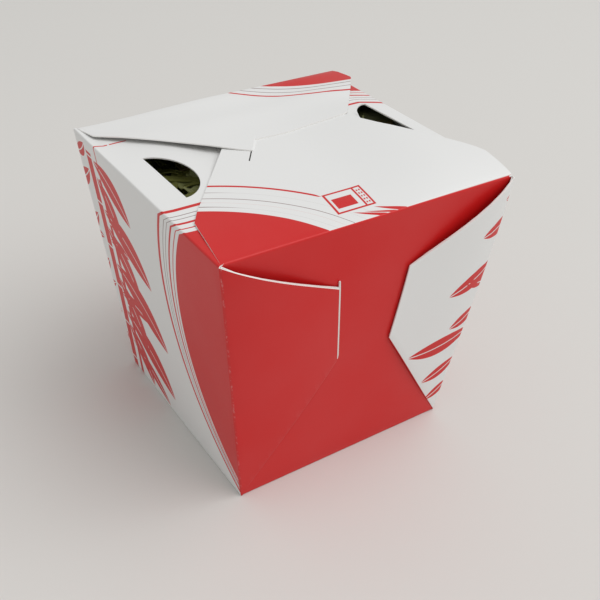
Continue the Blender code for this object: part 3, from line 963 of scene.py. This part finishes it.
def make_board_groups():
    """The coated board's colour under its ink, and its fine surface."""
    sockets = [("White", "Color"), ("Red", "Color"), ("Fine colour", "Color")]
    sockets += floats("Ink", "Fine", "Wear")
    net, given, out = new_group("Printed colour", sockets, [("Color", "Color")])
    place = net.node("TexCoord").outputs["Object"]
    cloud = net.noise(place, 24.0, 3.0)
    share = net.times_add(cloud, 0.05, 0.965)
    kept = net.times(given["Ink"], net.minus(1.0, given["Wear"]))
    shade = net.mix(given["Fine"], given["White"], given["Fine colour"])
    net.put(out[0], net.mix(net.times(kept, share, clamp=True), shade, given["Red"]))
    net, given, out = new_group("Board surface", [], floats("Height", "Roughness"))
    place = net.node("TexCoord").outputs["Object"]
    grain = net.noise(place, 1500.0, 3.0, 0.6)
    wave = net.noise(place, 38.0, 2.0)
    net.put(out[0], net.times_add(wave, 3.0, net.times(grain, 0.12)))
    net.put(out[1], net.times_add(grain, 0.10, 0.36))


def make_wear_group():
    """Cracks in the ink beside a straight fold through two points of the flat sheet."""
    names = ("Across", "Up", "Foot across", "Foot up", "Lean")
    net, given, out = new_group("Fold wear", floats(*names), floats("Wear"))
    rise = net.minus(given["Up"], given["Foot up"])
    line = net.times_add(rise, given["Lean"], given["Foot across"])
    away = net.math("ABSOLUTE", net.minus(given["Across"], line))
    band = net.minus(1.0, net.math("DIVIDE", away, 0.4), clamp=True)
    place = net.node("TexCoord").outputs["Object"]
    speck = net.minus(net.noise(place, 900.0, 4.0, 0.7), 0.52, clamp=True)
    net.put(out[0], net.times(band, net.times(speck, 1.6), clamp=True))


def make_leaf_group():
    """Patchy leaf colour: lighter stretches, and darker stretches of painted shade.

    Shade is the share of the colour that is kept: a low one takes it towards the painted shade, almost black.
    """
    sockets = [("Base", "Color"), ("Light", "Color"), ("Shade", "Float")]
    net, given, out = new_group("Leaf colour", sockets, [("Color", "Color"), ("Height", "Float")])
    place = net.node("TexCoord").outputs["Object"]
    patch = net.times_add(net.noise(place, 150.0, 4.0, 0.65), 2.4, -0.75, clamp=True)
    # Painted shade: where this noise is low, the leaf colour is mixed towards near-black, and the Shade input
    # scales how much colour is kept.
    kept = net.times_add(net.noise(place, 70.0, 2.0), 1.6, -0.3, clamp=True)
    kept = net.times(kept, given["Shade"])
    leaf = net.mix(patch, given["Base"], given["Light"])
    net.put(out[0], net.mix(kept, rgba(PAINTED_LEAF_SHADE), leaf))
    net.put(out[1], net.noise(place, 500.0, 3.0))


def make_groups():
    make_place_group()
    make_disc_groups()
    make_bar_group()
    make_blade_group()
    make_long_print_group("Front print", FRONT_RINGS, FRONT_STRIPES, STREAKS, OVEN_SIGN)
    make_long_print_group("Back print", BACK_RINGS, BACK_STRIPES, [], [])
    make_side_print_group()
    make_board_groups()
    make_wear_group()
    make_leaf_group()


def ensure_groups():
    if "Sheet place" not in bpy.data.node_groups:
        make_groups()


# ---------------------------------------------------------------- materials


def new_material(name, roughness):
    """A material's net and its principled node."""
    made = bpy.data.materials.new(name)
    made.use_nodes = True
    shader = made.node_tree.nodes["Principled BSDF"]
    shader.inputs["Roughness"].default_value = roughness
    return made, Net(made.node_tree), shader


def rgba(colour):
    return (*colour, 1.0)


def add_bump(net, shader, height, strength, distance):
    bump = net.node("Bump")
    bump.inputs["Strength"].default_value = strength
    bump.inputs["Distance"].default_value = distance
    net.put(bump.inputs["Height"], height)
    net.put(shader.inputs["Normal"], bump.outputs["Normal"])


def surface(net, shader, strength, distance):
    """Gives a shader the board's fine surface, and returns the roughness that goes with it."""
    height, roughness = net.use_all("Board surface")
    add_bump(net, shader, height, strength, distance)
    return roughness


def printed_material(name, print_group, folds):
    """Coated board with its print; folds are foot across, foot up and lean of each crease."""
    colours = bpy.context.scene.food_box_colours
    made, net, shader = new_material(name, 0.4)
    across, up = net.use_all("Sheet place")
    ink, fine = net.use_all(print_group, across, up)
    wear = net.most([net.use("Fold wear", across, up, *line) for line in folds] or [0.0])
    tones = [rgba(colours.white), rgba(colours.red), rgba(colours.fine)]
    net.put(shader.inputs["Base Color"], net.use("Printed colour", *tones, ink, fine, wear))
    net.put(shader.inputs["Roughness"], surface(net, shader, 0.25, 0.00008))
    shader.inputs["Specular IOR Level"].default_value = 0.35
    return made


def plain_material(name, colour, roughness):
    made, net, shader = new_material(name, roughness)
    shader.inputs["Base Color"].default_value = rgba(colour)
    surface(net, shader, 0.3, 0.00005)
    return made


def shared_material(name, make, *settings):
    """The material of that name, made only the first time it is asked for."""
    return bpy.data.materials.get(name) or make(name, *settings)


def sheet_materials(kind):
    """The three finishes of a sheet: its printed side, its inside and its cut edges."""
    ensure_groups()
    colours = bpy.context.scene.food_box_colours
    lean = (LID_HALF_Y - BASE_HALF) / slant(BASE_HALF, LID_HALF_X)
    corners = [(BASE_HALF / MM, 0.0, lean), (-BASE_HALF / MM, 0.0, -lean)] if kind == "side" else []
    return [
        shared_material("board_" + kind, printed_material, kind.title() + " print", corners),
        shared_material("board_inside", plain_material, BOARD_INSIDE, 0.7),
        shared_material("board_edge", plain_material, colours.edge, 0.75),
    ]


def leaf_material(name, base, light, roughness, shade=1.0):
    ensure_groups()
    made, net, shader = new_material(name, roughness)
    colour, height = net.use_all("Leaf colour", rgba(base), rgba(light), shade)
    net.put(shader.inputs["Base Color"], colour)
    add_bump(net, shader, height, 0.4, 0.0003)
    return made


# ---------------------------------------------------------------- the filling


def inside_half(z, gap):
    """The box's inner half sizes at a height, less a gap."""
    share = z / LID_Z
    half_x = BASE_HALF + (LID_HALF_X - BASE_HALF) * share - gap
    half_y = BASE_HALF + (LID_HALF_Y - BASE_HALF) * share - gap - TOP_RECESS - 0.5 * MM
    return half_x, half_y


def heap_top(x, y):
    """The height of the filling's core, which has low hills."""
    hills = math.sin(x * 150 + 1.3) * math.cos(y * 170 + 0.4) + 0.6 * math.sin(x * 310 + y * 260)
    return CORE_TOP * MM + CORE_HILLS * MM * hills + float(right_pile(x, y))


def right_pile(x, y):
    """How much higher the filling lies against the right wall."""
    in_front = smooth((y + 4 * MM) / (12 * MM)) * smooth((40 * MM - y) / (12 * MM))
    return PILE_RISE * MM * smooth((x - 37 * MM) / (7 * MM)) * in_front


def make_core(material):
    """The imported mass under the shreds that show."""
    deselect_all()
    bpy.ops.mesh.primitive_cube_add(size=2, location=(0, 0, 0))
    core = bpy.context.object
    core.name = "leaf_core"
    bpy.ops.object.mode_set(mode="EDIT")
    bpy.ops.mesh.subdivide(number_cuts=24)
    bpy.ops.object.mode_set(mode="OBJECT")
    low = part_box("leaf_filling")[0].z + 0.3 * MM
    for corner in core.data.vertices:
        u, v, w = corner.co
        share = (w + 1) / 2
        half_x, half_y = inside_half(88 * MM * share, CORE_GAP * MM)
        x, y = u * half_x, v * half_y
        corner.co = (x, y, low + (heap_top(x, y) - low) * share)
    core.data.materials.append(material)
    make_active(core)
    bpy.ops.object.shade_smooth()
    keep(core, "leaf_filling")
    return core


def add_strip():
    bpy.ops.mesh.primitive_grid_add(
        x_subdivisions=SHRED_STEPS, y_subdivisions=2, size=1, location=(0, 0, 0)
    )


def make_shreds(name, count, dice, material, widths, lengths, low, high, area=SHRED_AREA):
    """Thin curled strips of leaf laid over the core, as one piece."""
    deselect_all()
    add_strip()
    shreds = bpy.context.object
    shreds.name = name
    bpy.ops.object.mode_set(mode="EDIT")
    for _ in range(count - 1):
        add_strip()
    bpy.ops.object.mode_set(mode="OBJECT")
    grid = flat_points(shreds).reshape(count, -1, 3)
    for i in range(count):
        grid[i] = shred_points(grid[i], dice, widths, lengths, low, high, area)
    shreds.data.vertices.foreach_set("co", grid.ravel())
    shreds.data.update()
    shreds.data.materials.append(material)
    leaf = shreds.modifiers.new("leaf", "SOLIDIFY")
    leaf.thickness = SHRED_THICKNESS * MM
    leaf.offset = 0
    apply_modifiers(shreds)
    make_active(shreds)
    bpy.ops.object.shade_smooth_by_angle(angle=math.radians(50))
    keep(shreds, "leaf_filling")
    return shreds


def shred_points(grid, dice, widths, lengths, low, high, area):
    """One strip: a curved run over the core, twisted and ruffled."""
    length, width = dice.uniform(*lengths) * MM, dice.uniform(*widths) * MM
    x, y = dice.uniform(*area[:2]) * MM, dice.uniform(*area[2:]) * MM
    heading, curl = dice.uniform(0, 2 * math.pi), dice.uniform(-1.6, 1.6)
    twist, roll = dice.uniform(-1.2, 1.2), dice.uniform(-0.6, 0.6)
    height, tilt = dice.uniform(low, high) * MM, dice.uniform(-0.12, 0.12)
    ruffle, waves = dice.uniform(0.3, 1.1) * MM, dice.uniform(1.5, 3.5)
    phase = dice.uniform(0, 2 * math.pi)
    share = grid[:, 0]
    turn = heading + curl * share
    across = grid[:, 1] * width * (1 - (2 * share) ** 4 * 0.75)
    tip = roll + twist * share
    run = np.stack([np.cos(turn), np.sin(turn)], 1)
    side = np.stack([-np.sin(turn), np.cos(turn)], 1)
    flat = np.array([x, y]) + run * (share * length)[:, None] + side * (across * np.cos(tip))[:, None]
    arch = -SHRED_ARCH * MM * (2 * share) ** 2
    wave = ruffle * np.sin(share * waves * 2 * math.pi + phase + grid[:, 1] * 2.5)
    level = height + share * length * tilt + arch + wave + across * np.sin(tip)
    half_x, half_y = inside_half(90 * MM, 2.2 * MM)
    flat[:, 0] = np.clip(flat[:, 0], -half_x, half_x)
    flat[:, 1] = np.clip(flat[:, 1], -half_y, half_y)
    level = np.clip(level, 80 * MM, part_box("leaf_filling")[1].z)
    return np.column_stack([flat, level + right_pile(flat[:, 0], flat[:, 1])])


# ---------------------------------------------------------------- operators


class FOODBOX_OT_long_sheets(bpy.types.Operator):
    """Folds the front sheet with the base, and the back sheet with the hooked flap"""

    bl_idname = "foodbox.long_sheets"
    bl_label = "Front and Back Sheets"

    def execute(self, context):
        make_front_sheet(sheet_materials("front"))
        make_back_sheet(sheet_materials("back"))
        return {"FINISHED"}


class FOODBOX_OT_side_sheets(bpy.types.Operator):
    """Folds the two side sheets with their vents and doubled corner flaps"""

    bl_idname = "foodbox.side_sheets"
    bl_label = "Side Sheets"

    def execute(self, context):
        side_sheet("left_sheet", -1, sheet_materials("side"))
        side_sheet("right_sheet", 1, sheet_materials("side"))
        return {"FINISHED"}


class FOODBOX_OT_filling(bpy.types.Operator):
    """Fills the box with leaf shreds over a packed core"""

    bl_idname = "foodbox.filling"
    bl_label = "Leaf Filling"

    def execute(self, context):
        scene = context.scene
        colours, filling = scene.food_box_colours, scene.food_box_filling
        dice = random.Random(filling.seed)
        green = leaf_material("leaf_green", colours.leaf, (0.58, 0.60, 0.18), 0.5)
        pale = leaf_material("leaf_pale", colours.pale_leaf, (0.86, 0.90, 0.50), 0.45)
        brown = leaf_material("leaf_brown", colours.dry_leaf, (0.42, 0.32, 0.14), 0.55)
        make_core(leaf_material("leaf_core", (0.10, 0.10, 0.03), (0.22, 0.22, 0.06), 0.7))
        make_shreds("leaf_shreds_brown", filling.brown, dice, brown, (2.5, 5), (12, 26), 88.0, 90.8)
        make_shreds("leaf_shreds_green", filling.green, dice, green, (3, 7.5), (12, 30), 88.8, 92.4)
        make_shreds("leaf_shreds_pale", filling.pale, dice, pale, (3, 7), (10, 24), 89.5, 92.8)
        # Painted shade: a Shade of 0.15 keeps little of this light colour, so these pieces come out very
        # dark, near black.
        heart = leaf_material("leaf_heart", (0.84, 0.88, 0.42), (0.95, 0.97, 0.62), 0.45, 0.15)
        make_shreds("leaf_pieces_pale", PALE_PIECES, dice, heart, (7, 11), (9, 15), 92.6, 93.8, PALE_AREA)
        make_shreds("leaf_pieces_brown", BROWN_PIECES, dice, brown, (4, 8), (9, 15), 92.0, 92.8, BROWN_AREA)
        return {"FINISHED"}


class FOODBOX_OT_stage(bpy.types.Operator):
    """Sets the floor, the soft light and the camera"""

    bl_idname = "foodbox.stage"
    bl_label = "Stage"

    def execute(self, context):
        scene = context.scene
        deselect_all()
        bpy.ops.mesh.primitive_plane_add(size=6, location=(0, 0, 0))
        floor = context.object
        floor.name = "floor"
        made, _, shader = new_material("floor", 0.85)
        shader.inputs["Base Color"].default_value = rgba(FLOOR_COLOUR)
        shader.inputs["Specular IOR Level"].default_value = 0.2
        floor.data.materials.append(made)
        world = bpy.data.worlds.new("soft_room")
        world.use_nodes = True
        sky = world.node_tree.nodes["Background"]
        sky.inputs["Color"].default_value = rgba(SKY_COLOUR)
        sky.inputs["Strength"].default_value = SKY_STRENGTH
        scene.world = world
        add_light("ceiling_light", LIGHT_PLACE, LIGHT_SIZE, LIGHT_POWER)
        scene.view_settings.view_transform = "Standard"
        bpy.ops.object.camera_add()
        camera = context.object
        camera.data.lens = CAMERA_LENS
        camera.data.sensor_width = SENSOR
        camera.data.clip_start = 0.01
        right = CAMERA_FORWARD.cross(CAMERA_UP)
        turn = Matrix((right, CAMERA_UP, -CAMERA_FORWARD)).transposed()
        camera.matrix_world = Matrix.Translation(CAMERA_PLACE) @ turn.to_4x4()
        scene.camera = camera
        return {"FINISHED"}


def add_light(name, place, size, power):
    """A large square light that faces the box."""
    bpy.ops.object.light_add(type="AREA", location=place)
    light = bpy.context.object
    light.name = name
    light.data.size = size
    light.data.energy = power
    light.rotation_euler = (-Vector(place)).to_track_quat("-Z", "Y").to_euler()


class FOODBOX_PT_sidebar(bpy.types.Panel):
    """The box's settings and steps"""

    bl_label = "Food Box"
    bl_idname = "FOODBOX_PT_sidebar"
    bl_space_type = "VIEW_3D"
    bl_region_type = "UI"
    bl_category = "Food Box"

    def draw(self, context):
        scene = context.scene
        for settings in (scene.food_box_sizes, scene.food_box_colours, scene.food_box_filling):
            part = self.layout.box()
            for name in settings.__annotations__:
                part.prop(settings, name)
        for step in OPERATORS:
            self.layout.operator(step.bl_idname)


SETTINGS = {
    "food_box_sizes": FoodBoxSizes,
    "food_box_colours": FoodBoxColours,
    "food_box_filling": FoodBoxFilling,
}
OPERATORS = [FOODBOX_OT_long_sheets, FOODBOX_OT_side_sheets, FOODBOX_OT_filling, FOODBOX_OT_stage]
CLASSES = [*SETTINGS.values(), *OPERATORS, FOODBOX_PT_sidebar]


def register():
    for made in CLASSES:
        bpy.utils.register_class(made)
    for name, made in SETTINGS.items():
        setattr(bpy.types.Scene, name, PointerProperty(type=made))


def unregister():
    for name in SETTINGS:
        delattr(bpy.types.Scene, name)
    for made in reversed(CLASSES):
        bpy.utils.unregister_class(made)


def main():
    register()
    bpy.ops.foodbox.long_sheets()
    bpy.ops.foodbox.side_sheets()
    bpy.ops.foodbox.filling()
    bpy.ops.foodbox.stage()


if __name__ == "__main__":
    main()
